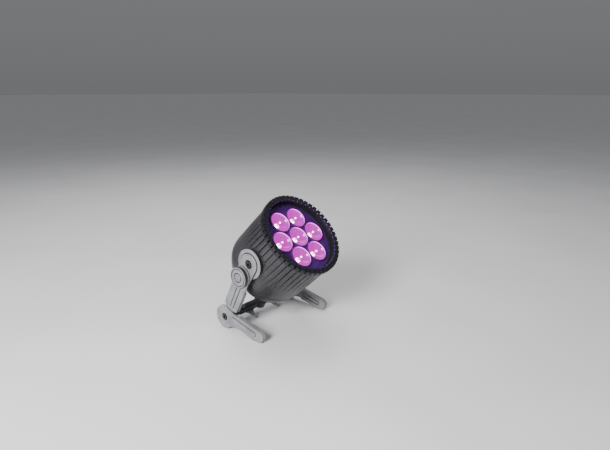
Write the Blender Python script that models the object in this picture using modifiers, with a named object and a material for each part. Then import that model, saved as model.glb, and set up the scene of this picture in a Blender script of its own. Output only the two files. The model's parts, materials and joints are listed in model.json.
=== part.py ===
"""LED par can on a floor stand: finned lamp head, two-pivot side arms, clamp bar and folding feet.

Run with: blender --background --python part.py
Metres, +Z up. The lamp shines towards -Y and up, and stands on z = 0. X is the tilt axis.
Lengths below are in millimetres and are scaled by MM where meshes are made.
"""
import math

import bmesh
import bpy
from mathutils import Matrix, Vector

MM = 0.001
GAP = 0.3                     # clearance that neighbouring solids keep

# --- driving dimensions -------------------------------------------------------------------------
RING_R = 90.0                 # outer radius of the toothed front ring
LAMP_ELEVATION = math.radians(43.2)
ARM_LEAN = math.radians(27.3)        # side arms lean back from vertical
ELBOW_TO_FOOT = 113.5
ELBOW_TO_TILT = 31.9
TILT_OFFSET = -2.1            # tilt axis sits this far in front of the arm's own line
FOOT_DISC_R = 24.8            # the round end of a foot touches the floor under its pivot
TILT_Y = 4.812                # places the object's box centre on the Z axis

# --- positions along the lamp axis, from the tilt axis, forwards --------------------------------
RING_FRONT = 77.3
RING_BACK = 67.6
RING_OPENING_R = 79.2
HOUSING_FRONT = 67.2
HOUSING_BACK = -45.5
HOUSING_R = 87.0
HOUSING_INNER_R = 81.7
CAP_FRONT = -46.9
CAP_BACK = -88.0
LENS_FACE = 64.3
LENS_R = 22.2
LENS_PITCH_R = 46.5
LENS_COUNT = 6
TOOTH_COUNT = 48
NOTCH_DEPTH = 5.2             # of the gaps between the ring's teeth
NOTCH_WIDTH = 2.3
FIN_GROOVE_R = 83.05          # bottoms of the grooves between the fins, at the front
FIN_GROOVE_WIDTH = 2.0
FIN_GROOVE_END = -12.0        # where the grooves, getting shallower, run out
BOSS_R = 27.0                 # side bosses that take the tilt bolts
WALL_OPENING_R = 12.0         # opening in the housing wall behind each boss
LED_HALF = 4.5                # half the width of an LED package

# --- layers of the stand on each side, as distances from the middle plane -----------------------
PAD_FACE = 85.6               # machined pad on the housing
SPOTFACE = 85.4               # flat turned into the housing round each pad
WASHER_X = (85.9, 90.3)
DISC_X = (90.6, 93.1)
LINK_X = (90.6, 95.6)
STUD_HEAD_X = (90.8, 92.8)
ELBOW_WASHER_X = (95.9, 97.1)
ARM_INNER_X = (91.5, 97.5)
ARM_OUTER_X = (97.4, 101.3)
KNOB_X = (101.6, 109.1)
FOOT_PLATE_X = (97.8, 102.6)
FOOT_PADDLE_X = (92.6, 98.0)

TILT_DISC_R = 30.3
WASHER_R = 29.6
SPOTFACE_R = 31.0
LINK_END_R = 21.4
ARM_REAR, ARM_FRONT = 15.0, -22.5    # edges of the arm about the elbow-to-foot line
KNOB_R = 20.9
BAR_WIDTH = 14.0
CLAMP_HOLE_R = 6.5            # clearance for an M12 clamp bolt
CLAMP_BOSS_R = 14.0
CLAMP_SCREW_X = 54.0
CLAMP_SCREW_R = 2.5
CLAMP_SCREW_HOLE_R = 2.9
BOLT_R = 4.0                  # M8 shanks
BOLT_HEAD_R = 6.5
HOLE_R = 4.3                  # clearance for an M8 shank


# --- frames ---------------------------------------------------------------------------------------
ALONG_ARM = Vector((0, math.sin(ARM_LEAN), -math.cos(ARM_LEAN)))
BEHIND_ARM = Vector((0, math.cos(ARM_LEAN), math.sin(ARM_LEAN)))
ELBOW_TO_TILT_VECTOR = TILT_OFFSET * BEHIND_ARM - ELBOW_TO_TILT * ALONG_ARM
FOOT_FROM_TILT = ELBOW_TO_FOOT * ALONG_ARM - ELBOW_TO_TILT_VECTOR
TILT = Vector((0, TILT_Y, FOOT_DISC_R - FOOT_FROM_TILT.z))
ELBOW = TILT - ELBOW_TO_TILT_VECTOR
FOOT = TILT + FOOT_FROM_TILT


def reset_scene():
    for obj in list(bpy.data.objects):
        bpy.data.objects.remove(obj, do_unlink=True)


def make_collection(name):
    collection = bpy.data.collections.new(name)
    bpy.context.scene.collection.children.link(collection)
    return collection


reset_scene()
PARTS = make_collection("par_can_light")
CUTTERS = make_collection("cutters")


def material(name, colour, roughness, metallic):
    mat = bpy.data.materials.new(name)
    mat.use_nodes = True
    shader = mat.node_tree.nodes["Principled BSDF"]
    shader.inputs["Base Color"].default_value = (*colour, 1.0)
    shader.inputs["Roughness"].default_value = roughness
    shader.inputs["Metallic"].default_value = metallic
    return mat


COATED = material("powder_coat_dark", (0.060, 0.060, 0.068), 0.48, 0.0)
STAND_GREY = material("powder_coat_grey", (0.20, 0.20, 0.215), 0.45, 0.0)
RING_BLACK = material("ring_black", (0.012, 0.012, 0.015), 0.5, 0.0)
BLACK_PLASTIC = material("black_plastic", (0.02, 0.02, 0.022), 0.4, 0.0)
RUBBER = material("rubber", (0.015, 0.015, 0.016), 0.8, 0.0)
STEEL = material("steel", (0.5, 0.5, 0.52), 0.3, 1.0)
ALUMINIUM = material("aluminium", (0.6, 0.6, 0.62), 0.4, 1.0)
LENS_CLEAR = material("lens_clear", (0.95, 0.7, 1.0), 0.05, 0.0)
BOARD_WHITE = material("board_white", (0.75, 0.75, 0.75), 0.5, 0.0)
BOARD_GREEN = material("board_green", (0.03, 0.2, 0.08), 0.5, 0.0)
LED_YELLOW = material("led_yellow", (0.8, 0.6, 0.2), 0.4, 0.0)
DISPLAY_GLASS = material("display_glass", (0.02, 0.03, 0.05), 0.1, 0.0)


def frame_empty(name, location, angle=0.0):
    empty = bpy.data.objects.new(name, None)
    empty.empty_display_size = 0.02
    empty.matrix_world = Matrix.Translation(Vector(location) * MM) @ Matrix.Rotation(angle, 4, "X")
    PARTS.objects.link(empty)
    return empty


HEAD_FRAME = frame_empty("tilt_axis", TILT, math.pi / 2 - LAMP_ELEVATION)
ARM_FRAME = frame_empty("elbow_axis", ELBOW, ARM_LEAN)
FOOT_FRAME = frame_empty("foot_axis", FOOT)
bpy.context.view_layer.update()


# --- modelling helpers ----------------------------------------------------------------------------
def add_object(name, mesh, mat, parent, cutter=False):
    obj = bpy.data.objects.new(name, mesh)
    (CUTTERS if cutter else PARTS).objects.link(obj)
    obj.parent = parent
    if cutter:
        obj.hide_render = True
        obj.display_type = "WIRE"
    else:
        mesh.materials.append(mat)
    return obj


def smooth(mesh, angle=35):
    mesh.shade_smooth()
    mesh.set_sharp_from_angle(angle=math.radians(angle))


def turned(name, profile, mat, parent, steps=32, closed=False, place=None, cutter=False):
    """Turn a profile of (radius, height) points about local Z; outer side runs downwards."""
    mesh = bpy.data.meshes.new(name)
    verts = [(r * MM, 0, h * MM) for r, h in profile]
    count = len(verts)
    edges = [(i, i + 1) for i in range(count - 1)]
    if closed:
        edges.append((count - 1, 0))
    mesh.from_pydata(verts, edges, [])
    obj = add_object(name, mesh, mat, parent, cutter)
    if place is not None:
        obj.matrix_local = place
    screw = obj.modifiers.new("turn", "SCREW")
    screw.steps = screw.render_steps = steps
    screw.use_merge_vertices = True
    screw.merge_threshold = 0.00001
    screw.use_smooth_shade = True
    return obj


def outward(side, y=0.0, z=0.0):
    """Places a turned piece so that its local +Z points away from the middle plane along X."""
    turn = Matrix.Rotation(side * math.pi / 2, 4, "Y")
    return Matrix.Translation(Vector((0, y, z)) * MM) @ turn


def arc(centre, radius, start, end, count):
    """Points on an arc, angles in degrees, both ends included."""
    points = []
    for i in range(count + 1):
        angle = math.radians(start + (end - start) * i / count)
        points.append((centre[0] + radius * math.cos(angle), centre[1] + radius * math.sin(angle)))
    return points


def stadium(start, end, radius, count=6):
    """Outline of a round-ended slot between two points."""
    heading = math.degrees(math.atan2(end[1] - start[1], end[0] - start[0]))
    return (arc(start, radius, heading + 90, heading + 270, count)
            + arc(end, radius, heading - 90, heading + 90, count))


def flat_mesh(name, outlines, thickness):
    """Mesh of a flat plate from closed outlines; inner outlines become holes."""
    curve = bpy.data.curves.new(name, "CURVE")
    curve.dimensions = "2D"
    curve.fill_mode = "BOTH"
    curve.extrude = thickness * MM / 2
    for outline in outlines:
        spline = curve.splines.new("POLY")
        spline.points.add(len(outline) - 1)
        for point, (u, v) in zip(spline.points, outline):
            point.co = (u * MM, v * MM, 0, 1)
        spline.use_cyclic_u = True
    obj = bpy.data.objects.new(name, curve)
    PARTS.objects.link(obj)
    bpy.context.view_layer.update()
    evaluated = obj.evaluated_get(bpy.context.evaluated_depsgraph_get())
    mesh = bpy.data.meshes.new_from_object(evaluated)
    bpy.data.objects.remove(obj, do_unlink=True)
    bpy.data.curves.remove(curve)
    bm = bmesh.new()
    bm.from_mesh(mesh)
    bmesh.ops.remove_doubles(bm, verts=bm.verts, dist=0.00001)
    bmesh.ops.recalc_face_normals(bm, faces=bm.faces)
    bm.to_mesh(mesh)
    bm.free()
    return mesh


def side_plate(name, outlines, layer, side, mat, parent, cutter=False):
    """Plate in the YZ plane filling the given layer of X on one side (-1 left, +1 right)."""
    thickness = layer[1] - layer[0]
    mesh = flat_mesh(name, outlines, thickness)
    middle = side * (layer[0] + layer[1]) / 2 * MM
    mesh.transform(Matrix(((0, 0, 1, middle), (1, 0, 0, 0), (0, 1, 0, 0), (0, 0, 0, 1))))
    return add_object(name, mesh, mat, parent, cutter)


def front_plate(name, outlines, layer, mat, parent, cutter=False):
    """Plate across the lamp axis filling the given layer of local Z."""
    mesh = flat_mesh(name, outlines, layer[1] - layer[0])
    mesh.transform(Matrix.Translation((0, 0, (layer[0] + layer[1]) / 2 * MM)))
    return add_object(name, mesh, mat, parent, cutter)


def boxes(name, corners, mat, parent, cutter=False, bevel=0.0):
    """One mesh of boxes, each given by its low and high corner."""
    bm = bmesh.new()
    for low, high in corners:
        low, high = Vector(low) * MM, Vector(high) * MM
        size = Matrix.Diagonal((high - low).to_4d())
        size[3][3] = 1.0
        bmesh.ops.create_cube(bm, size=1.0, matrix=Matrix.Translation((low + high) / 2) @ size)
    mesh = bpy.data.meshes.new(name)
    bm.to_mesh(mesh)
    bm.free()
    obj = add_object(name, mesh, mat, parent, cutter)
    if bevel:
        soften(obj, bevel)
    return obj


def soften(obj, width, segments=1):
    bevel = obj.modifiers.new("bevel", "BEVEL")
    bevel.width = width * MM
    bevel.segments = segments
    bevel.limit_method = "ANGLE"
    bevel.angle_limit = math.radians(50)
    bevel.use_clamp_overlap = True


def boolean(obj, tool, operation="DIFFERENCE"):
    mod = obj.modifiers.new(operation.lower(), "BOOLEAN")
    mod.operation = operation
    mod.object = tool


def rod(name, radius, low, high, mat, parent, place=None, steps=24, cutter=False):
    """Plain cylinder along local Z with flat one-piece ends."""
    bm = bmesh.new()
    centre = Matrix.Translation((0, 0, (low + high) / 2 * MM))
    bmesh.ops.create_cone(bm, cap_ends=True, segments=steps, radius1=radius * MM, radius2=radius * MM,
                          depth=(high - low) * MM, matrix=centre)
    mesh = bpy.data.meshes.new(name)
    bm.to_mesh(mesh)
    bm.free()
    smooth(mesh)
    obj = add_object(name, mesh, mat, parent, cutter)
    if place is not None:
        obj.matrix_local = place
    return obj


def circle(centre, radius, count=24):
    return arc(centre, radius, 0, 360, count)[:-1]


def ring_profile(inner, outer, low, high):
    return [(outer, high), (outer, low), (inner, low), (inner, high)]


# --- lamp head ------------------------------------------------------------------------------------
def radial_boxes(name, inner, outer, width, low, high, count, parent, slope=0.0):
    """Cutter of radial bars round the lamp axis; slope lets them get shallower to the rear."""
    bm = bmesh.new()
    for i in range(count):
        turn = Matrix.Rotation(2 * math.pi * (i + 0.5) / count, 4, "Z")
        middle = Vector(((inner + outer) / 2, 0, (low + high) / 2)) * MM
        size = Matrix.Diagonal(((outer - inner) * MM, width * MM, (high - low) * MM, 1.0))
        lean = Matrix.Rotation(-slope, 4, "Y")
        bmesh.ops.create_cube(bm, size=1.0, matrix=turn @ Matrix.Translation(middle) @ lean @ size)
    mesh = bpy.data.meshes.new(name)
    bm.to_mesh(mesh)
    bm.free()
    return add_object(name, mesh, None, parent, cutter=True)


def build_front_ring():
    profile = [(RING_R, RING_FRONT), (RING_R, RING_BACK), (81.0, RING_BACK), (81.0, 63.0), (78.6, 63.0),
               (RING_OPENING_R, RING_FRONT)]
    ring = turned("front_ring", profile, RING_BLACK, HEAD_FRAME, steps=96, closed=True)
    notches = radial_boxes("ring_notches", RING_R - NOTCH_DEPTH, RING_R + 3, NOTCH_WIDTH, RING_BACK + 2.6,
                           RING_FRONT + 2, TOOTH_COUNT, HEAD_FRAME)
    boolean(ring, notches)


def build_housing():
    wall = ring_profile(HOUSING_INNER_R, HOUSING_R, HOUSING_BACK, HOUSING_FRONT)
    housing = turned("housing", wall, COATED, HEAD_FRAME, steps=96, closed=True)
    for side, word in ((-1, "left"), (1, "right")):
        place = outward(side)
        flat = rod("spotface_" + word, SPOTFACE_R, SPOTFACE, 99.0, None, HEAD_FRAME, place, 40, cutter=True)
        opening = rod("wall_opening_" + word, WALL_OPENING_R, 70.0, 99.0, None, HEAD_FRAME, place, 24,
                      cutter=True)
        boss = turned("boss_" + word, ring_profile(HOLE_R, BOSS_R, 73.0, PAD_FACE), None, HEAD_FRAME, 32,
                      closed=True, place=place, cutter=True)
        boolean(housing, flat)
        boolean(housing, opening)
        boolean(housing, boss, "UNION")
    depth, length = HOUSING_R - FIN_GROOVE_R, HOUSING_FRONT - FIN_GROOVE_END
    grooves = radial_boxes("fin_grooves", FIN_GROOVE_R + depth / 2, HOUSING_R + 12, FIN_GROOVE_WIDTH,
                           FIN_GROOVE_END - 3, HOUSING_FRONT + 3, TOOTH_COUNT, HEAD_FRAME,
                           math.atan(depth / length))
    for side, word in ((-1, "left"), (1, "right")):
        relief = rod("pad_relief_" + word, SPOTFACE_R + 0.5, 78.0, 110.0, None, HEAD_FRAME, outward(side), 40,
                     cutter=True)
        boolean(grooves, relief)
    boolean(housing, grooves)


def lens_places():
    places = [(0.0, 0.0)]
    for i in range(LENS_COUNT):
        angle = math.radians(60 * i)
        places.append((LENS_PITCH_R * math.cos(angle), LENS_PITCH_R * math.sin(angle)))
    return places


def build_optics():
    holes = [circle(place, LENS_R + 0.45, 20) for place in lens_places()]
    front_plate("lens_plate", [circle((0, 0), 81.0, 40)] + holes, (59.2, 61.4), BLACK_PLASTIC, HEAD_FRAME)
    turned("lens_gasket", ring_profile(75.5, 80.8, 61.7, 62.7), RUBBER, HEAD_FRAME, steps=32, closed=True)
    profile = [(0, LENS_FACE), (12.0, LENS_FACE - 0.25), (LENS_R, LENS_FACE - 1.2), (LENS_R, 58.4),
               (8.2, 43.0), (0, 43.0)]
    for index, (x, y) in enumerate(lens_places()):
        place = Matrix.Translation((x * MM, y * MM, 0))
        turned("lens_%d" % (index + 1), profile, LENS_CLEAR, HEAD_FRAME, steps=20, place=place)
        corners = [((x - LED_HALF, y - LED_HALF, 38.7), (x + LED_HALF, y + LED_HALF, 41.2))]
        boxes("led_%d" % (index + 1), corners, LED_YELLOW, HEAD_FRAME)
    rod("led_board", 74.0, 36.4, 38.4, BOARD_WHITE, HEAD_FRAME, steps=48)


def build_electronics():
    sink = rod("heat_sink", 77.0, 29.0, 36.1, ALUMINIUM, HEAD_FRAME, steps=48)
    fins = boxes("heat_sink_fins", [((-50, y - 1.5, 8.0), (50, y + 1.5, 29.5)) for y in range(-45, 46, 15)],
                 None, HEAD_FRAME, cutter=True)
    boolean(sink, fins, "UNION")
    boxes("power_supply", [((-42, -28, -32), (42, 28, -2))], ALUMINIUM, HEAD_FRAME, bevel=1.5)
    boxes("control_board", [((-32, -24, -60.0), (32, 44, -58.4))], BOARD_GREEN, HEAD_FRAME)


BUTTON_XS = (-18.0, -6.0, 6.0, 18.0)
BUTTON_Y = 9.0
SOCKETS = {"power_in": (-26.0, -11.5), "power_out": (26.0, -11.5), "data_in": (-13.0, -35.0),
           "data_out": (13.0, -35.0)}
SOCKET_R = 10.5
DISPLAY_BOX = (-17.0, 19.0, 17.0, 34.0)


def build_rear_cap():
    wall = 3.6
    outer = [(86.6, CAP_FRONT), (85.4, -58.0), (82.4, -66.0), (77.9, -74.0), (72.0, -81.0), (64.0, -86.2),
             (52.0, CAP_BACK)]
    inner = [(0, CAP_BACK + wall), (50.5, CAP_BACK + wall), (62.3, -82.8), (69.2, -78.3), (74.7, -71.9),
             (79.0, -64.3), (81.8, -57.0), (82.8, CAP_FRONT)]
    profile = inner + outer + [(0, CAP_BACK)]
    cap = turned("rear_cap", profile, COATED, HEAD_FRAME, steps=48)
    low_x, low_y, high_x, high_y = DISPLAY_BOX
    window = boxes("display_cut", [((low_x, low_y, CAP_BACK - 3), (high_x, high_y, CAP_BACK + 8))], None,
                   HEAD_FRAME, cutter=True)
    boolean(cap, window)
    holes = [circle((x, y), SOCKET_R + GAP + 0.2, 16) for x, y in SOCKETS.values()]
    holes += [circle((x, BUTTON_Y), 3.4, 12) for x in BUTTON_XS]
    for index, outline in enumerate(holes):
        cut = front_plate("cap_hole_%d" % index, [outline], (CAP_BACK - 3, CAP_BACK + 8), None, HEAD_FRAME,
                          cutter=True)
        boolean(cap, cut)
    seal = ring_profile(83.0, 86.4, CAP_FRONT + GAP, HOUSING_BACK - GAP)
    turned("cap_gasket", seal, RUBBER, HEAD_FRAME, steps=32, closed=True)
    boxes("display_window", [((low_x + GAP, low_y + GAP, CAP_BACK + 0.6),
                              (high_x - GAP, high_y - GAP, CAP_BACK + 3.0))], DISPLAY_GLASS, HEAD_FRAME)


def build_rear_fittings():
    for name, (x, y) in SOCKETS.items():
        mouth = 8.2 if name.startswith("power") else 7.4
        profile = [(0, CAP_BACK + 6.0), (SOCKET_R, CAP_BACK + 6.0), (SOCKET_R, CAP_BACK - GAP),
                   (SOCKET_R + 1.6, CAP_BACK - GAP), (SOCKET_R + 1.6, CAP_BACK - 1.8),
                   (mouth, CAP_BACK - 1.8), (mouth, CAP_BACK + 4.0), (0, CAP_BACK + 4.0)]
        place = Matrix.Translation((x * MM, y * MM, 0))
        turned(name, profile, BLACK_PLASTIC, HEAD_FRAME, steps=16, place=place)
    for index, x in enumerate(BUTTON_XS):
        profile = [(0, CAP_BACK + 5.0), (2.2, CAP_BACK + 5.0), (2.2, CAP_BACK + 3.2), (3.0, CAP_BACK + 3.2),
                   (3.0, CAP_BACK - 1.2), (2.5, CAP_BACK - 1.6), (0, CAP_BACK - 1.6)]
        place = Matrix.Translation((x * MM, BUTTON_Y * MM, 0))
        turned("menu_button_%d" % (index + 1), profile, BLACK_PLASTIC, HEAD_FRAME, steps=12, place=place)
    build_safety_eye()


def build_safety_eye():
    """Steel loop for the safety cable, with its feet on the flat of the rear cap."""
    curve = bpy.data.curves.new("safety_eye", "CURVE")
    curve.dimensions = "3D"
    curve.bevel_depth = 2.0 * MM
    curve.bevel_resolution = 2
    curve.use_fill_caps = True
    loop = [(u, 41.0, CAP_BACK - v) for u, v in
            [(9.0, GAP)] + arc((0, 6.0), 9.0, 0, 180, 10) + [(-9.0, GAP)]]
    spline = curve.splines.new("POLY")
    spline.points.add(len(loop) - 1)
    for point, (x, y, z) in zip(spline.points, loop):
        point.co = (x * MM, y * MM, z * MM, 1)
    obj = bpy.data.objects.new("safety_eye", curve)
    PARTS.objects.link(obj)
    obj.parent = HEAD_FRAME
    curve.materials.append(STEEL)


def socket_bolt(name, head_r, head_x, tip_x, place, parent):
    """Low-head socket bolt along +Z of its placement, with the hex socket in its head."""
    under, top = head_x
    profile = [(0, top - 2.4), (3.2, top - 2.4), (3.2, top), (head_r - 0.5, top), (head_r, top - 0.5),
               (head_r, under), (BOLT_R, under), (BOLT_R, tip_x), (0, tip_x)]
    return turned(name, profile, STEEL, parent, steps=16, place=place)


def build_tilt_pivot(side, word):
    place = outward(side)
    turned("tilt_washer_" + word, ring_profile(HOLE_R, WASHER_R, *WASHER_X), RUBBER, HEAD_FRAME, steps=24,
           closed=True, place=place)
    socket_bolt("tilt_bolt_" + word, BOLT_HEAD_R, (91.4, 95.3), 76.0, place, HEAD_FRAME)


# --- side arms ------------------------------------------------------------------------------------
def build_link(side, word):
    """Short upper arm: a wide disc on the tilt axis and a raised link down to the elbow."""
    tilt = (TILT_OFFSET, ELBOW_TO_TILT)
    disc = side_plate("upper_arm_" + word, [circle(tilt, TILT_DISC_R, 40)], DISC_X, side, STAND_GREY,
                      ARM_FRAME)
    outline = (arc(tilt, LINK_END_R, -8, 188, 20) + arc((0, 0), 21.0, 200, 340, 16))
    link = side_plate("link_" + word, [outline], LINK_X, side, None, ARM_FRAME, cutter=True)
    boolean(disc, link, "UNION")
    at_tilt = outward(side, *tilt)
    at_elbow = outward(side)
    cuts = (rod("link_bolt_hole_" + word, HOLE_R, 80, 99, None, ARM_FRAME, at_tilt, 16, cutter=True),
            rod("link_bolt_recess_" + word, 9.2, 91.1, 99, None, ARM_FRAME, at_tilt, 32, cutter=True),
            rod("link_stud_hole_" + word, HOLE_R, 80, 99, None, ARM_FRAME, at_elbow, 16, cutter=True),
            rod("link_stud_recess_" + word, 8.4, 80, 93.2, None, ARM_FRAME, at_elbow, 24, cutter=True))
    for cut in cuts:
        boolean(disc, cut)
    turned("elbow_washer_" + word, ring_profile(HOLE_R, 19.0, *ELBOW_WASHER_X), RUBBER, ARM_FRAME, steps=24,
           closed=True, place=at_elbow)
    build_elbow_stud(side, word, at_elbow)


def build_elbow_stud(side, word, place):
    """Hex-headed stud whose head sits in the link's inner face and whose thread takes the knob."""
    inner, outer = STUD_HEAD_X
    head = flat_mesh("elbow_stud_" + word, [circle((0, 0), 7.5, 6)], outer - inner)
    head.transform(Matrix.Translation((0, 0, (inner + outer) / 2 * MM)))
    stud = add_object("elbow_stud_" + word, head, STEEL, ARM_FRAME)
    stud.matrix_local = place
    shank = rod("elbow_shank_" + word, BOLT_R, 91.4, 106.0, None, ARM_FRAME, place, 16, cutter=True)
    boolean(stud, shank, "UNION")


def build_knob(side, word):
    place = outward(side)
    base, face = KNOB_X
    profile = [(0, face - 1.3), (9.9, face - 1.3), (9.9, face), (17.4, face), (17.4, face - 0.6),
               (18.3, face - 0.6), (18.3, face), (KNOB_R - 0.9, face), (KNOB_R, face - 1.0),
               (KNOB_R, base), (HOLE_R, base), (HOLE_R, 106.6), (0, 106.6)]
    turned("elbow_knob_" + word, profile, STAND_GREY, ARM_FRAME, steps=36, place=place)
    cap = [(0, face + 0.5), (8.6, face + 0.5), (9.4, face - 0.1), (9.4, face - 1.0), (0, face - 1.0)]
    turned("knob_cap_" + word, cap, STAND_GREY, ARM_FRAME, steps=24, place=place)


def build_lower_arm(side, word):
    foot = (0.0, -ELBOW_TO_FOOT)
    outer = (arc((0, 0), 21.0, 44, 172, 14) + [(ARM_FRONT, -16.0), (ARM_FRONT, -81.5), (-14.0, -85.5),
             (0.0, -87.6), (10.0, -87.4), (10.4, -84.0), (ARM_REAR, -81.0), (ARM_REAR, 14.6)])
    inner = ([(ARM_FRONT, -30.0), (ARM_FRONT, -81.5), (-14.0, -92.0)] + arc(foot, 13.6, 170, 370, 14)
             + [(10.4, -88.0), (10.4, -84.0), (ARM_REAR, -81.0), (ARM_REAR, -26.0)])
    arm = side_plate("lower_arm_" + word, [outer], ARM_OUTER_X, side, STAND_GREY, ARM_FRAME)
    block = side_plate("arm_block_" + word, [inner], ARM_INNER_X, side, None, ARM_FRAME, cutter=True)
    boolean(arm, block, "UNION")
    depth = ARM_OUTER_X[1] - 0.9
    for index, (top, bottom) in enumerate(((-0.6, -2.2), (-10.4, -10.4))):
        outline = stadium((top, -15.0), (bottom, -78.0), 0.55, 3)
        groove = side_plate("arm_groove_%s_%d" % (word, index), [outline], (depth, depth + 4), side, None,
                            ARM_FRAME, cutter=True)
        boolean(arm, groove)
    stud_hole = rod("arm_stud_hole_" + word, HOLE_R, 88, 104, None, ARM_FRAME, outward(side), 16, cutter=True)
    bolt_hole = rod("arm_bolt_hole_" + word, HOLE_R, 88, 104, None, ARM_FRAME, outward(side, *foot), 16,
                    cutter=True)
    boolean(arm, stud_hole)
    boolean(arm, bolt_hole)


def build_crossbar():
    """Bar between the arms on the foot pivots' line, with the clamp hole in its middle."""
    u = -ELBOW_TO_FOOT
    reach = ARM_INNER_X[0] - GAP
    half = BAR_WIDTH / 2
    bar = boxes("crossbar", [((-reach, -half, u - 5.5), (reach, half, u + 5.5))], STAND_GREY, ARM_FRAME,
                bevel=1.0)
    boss = rod("clamp_boss", CLAMP_BOSS_R, u - 6.0, u + 6.0, None, ARM_FRAME, steps=28, cutter=True)
    clamp_hole = rod("clamp_hole", CLAMP_HOLE_R, u - 20, u + 20, None, ARM_FRAME, steps=20,
                     cutter=True)
    boolean(bar, boss, "UNION")
    boolean(bar, clamp_hole)
    for side, word in ((-1, "left"), (1, "right")):
        end_bore = rod("bar_bore_" + word, HOLE_R, 78.0, 99.0, None, ARM_FRAME, outward(side, 0, u), 16,
                       cutter=True)
        screw_hole = rod("bar_screw_hole_" + word, CLAMP_SCREW_HOLE_R, u - 20, u + 20, None, ARM_FRAME,
                         Matrix.Translation((side * CLAMP_SCREW_X * MM, 0, 0)), 12, cutter=True)
        boolean(bar, end_bore)
        boolean(bar, screw_hole)
        screw = [(0, u + 8.9), (3.8, u + 8.9), (4.3, u + 8.3), (4.3, u + 5.8), (CLAMP_SCREW_R, u + 5.8),
                 (CLAMP_SCREW_R, u - 8.0),
                 (0, u - 8.0)]
        turned("clamp_screw_" + word, screw, STEEL, ARM_FRAME, steps=16,
               place=Matrix.Translation((side * CLAMP_SCREW_X * MM, 0, 0)))
    tongue = [(46, -7), (40, -12)] + arc((35, -27), 2.5, 0, -180, 4) + [(28, -12), (22, -7)]
    left = [(-x, y) for x, y in reversed(tongue)]
    outline = ([(62, 7), (62, -7)] + tongue + arc((0, 0), CLAMP_BOSS_R, 330, 210, 8) + left
               + [(-62, -7), (-62, 7)] + arc((0, 0), CLAMP_BOSS_R, 150, 30, 8))
    holes = [circle((0, 0), CLAMP_HOLE_R, 20), circle((-CLAMP_SCREW_X, 0), CLAMP_SCREW_HOLE_R, 12),
             circle((CLAMP_SCREW_X, 0), CLAMP_SCREW_HOLE_R, 12)]
    front_plate("clamp_plate", [outline] + holes, (u - 9.3, u - 6.3), STAND_GREY, ARM_FRAME)


# --- feet -----------------------------------------------------------------------------------------
def foot_outline():
    """Round end on the pivot, straight paddle, flat-bottomed tip; y runs to the rear."""
    floor = -FOOT_DISC_R
    tip = [(-93.7, 0.0), (-101.0, -1.4), (-106.2, -4.2), (-109.4, -8.0), (-110.4, -12.5), (-109.0, -18.0),
           (-105.6, -22.6), (-101.6, floor)]
    underside = [(-77.0, floor), (-69.0, -21.8), (-61.0, -19.2), (-50.0, -16.9), (-40.0, -15.8),
                 (-30.0, -15.4), (-22.0, -16.2), (-15.0, -18.6)]
    return arc((0, 0), FOOT_DISC_R, 245, 472, 36) + [(-31.0, 12.6)] + tip + underside


def build_foot(side, word):
    foot = side_plate("foot_" + word, [foot_outline()], FOOT_PLATE_X, side, STAND_GREY, FOOT_FRAME)
    paddle = [(x, z) for x, z in foot_outline() if x < -36.0]
    paddle = [(-40.0, 10.8)] + paddle[:-1] + [(-40.0, -15.8)]
    block = side_plate("foot_block_" + word, [paddle], FOOT_PADDLE_X, side, None, FOOT_FRAME, cutter=True)
    boolean(foot, block, "UNION")
    rib_ends = (-26.0, 2.2), (-86.0, -11.6)
    rib_layer = (FOOT_PLATE_X[1] - 1, FOOT_PLATE_X[1] + 1.2)
    rib = side_plate("foot_rib_" + word, [stadium(*rib_ends, 4.0)], rib_layer, side, None, FOOT_FRAME,
                     cutter=True)
    boolean(foot, rib, "UNION")
    channel_ends = (-48.0, -2.6), (-88.0, -11.8)
    channel_layer = (88.0, FOOT_PADDLE_X[0] + 3.5)
    channel = side_plate("foot_channel_" + word, [stadium(*channel_ends, 5.0)], channel_layer, side, None,
                         FOOT_FRAME, cutter=True)
    boolean(foot, channel)
    place = outward(side)
    for name, radius, start in (("foot_hole_", HOLE_R, 90.0), ("foot_recess_", 7.8, 99.9)):
        boolean(foot, rod(name + word, radius, start, 110.0, None, FOOT_FRAME, place, 24, cutter=True))
    socket_bolt("foot_bolt_" + word, BOLT_HEAD_R, (100.2, 103.4), 81.0, place, FOOT_FRAME)
    stop = [(-23.0, 16.8), (-30.5, 13.3), (-30.5, 17.3), (-25.5, 17.8), (-23.0, 18.5)]
    side_plate("foot_stop_" + word, [stop], (98.4, 101.6), side, STEEL, FOOT_FRAME)


def build_all():
    build_front_ring()
    build_housing()
    build_optics()
    build_electronics()
    build_rear_cap()
    build_rear_fittings()
    build_crossbar()
    for side, word in ((-1, "left"), (1, "right")):
        build_tilt_pivot(side, word)
        build_link(side, word)
        build_knob(side, word)
        build_lower_arm(side, word)
        build_foot(side, word)


build_all()
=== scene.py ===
import json
import math

import bmesh
import bpy
from mathutils import Matrix, Vector

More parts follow.
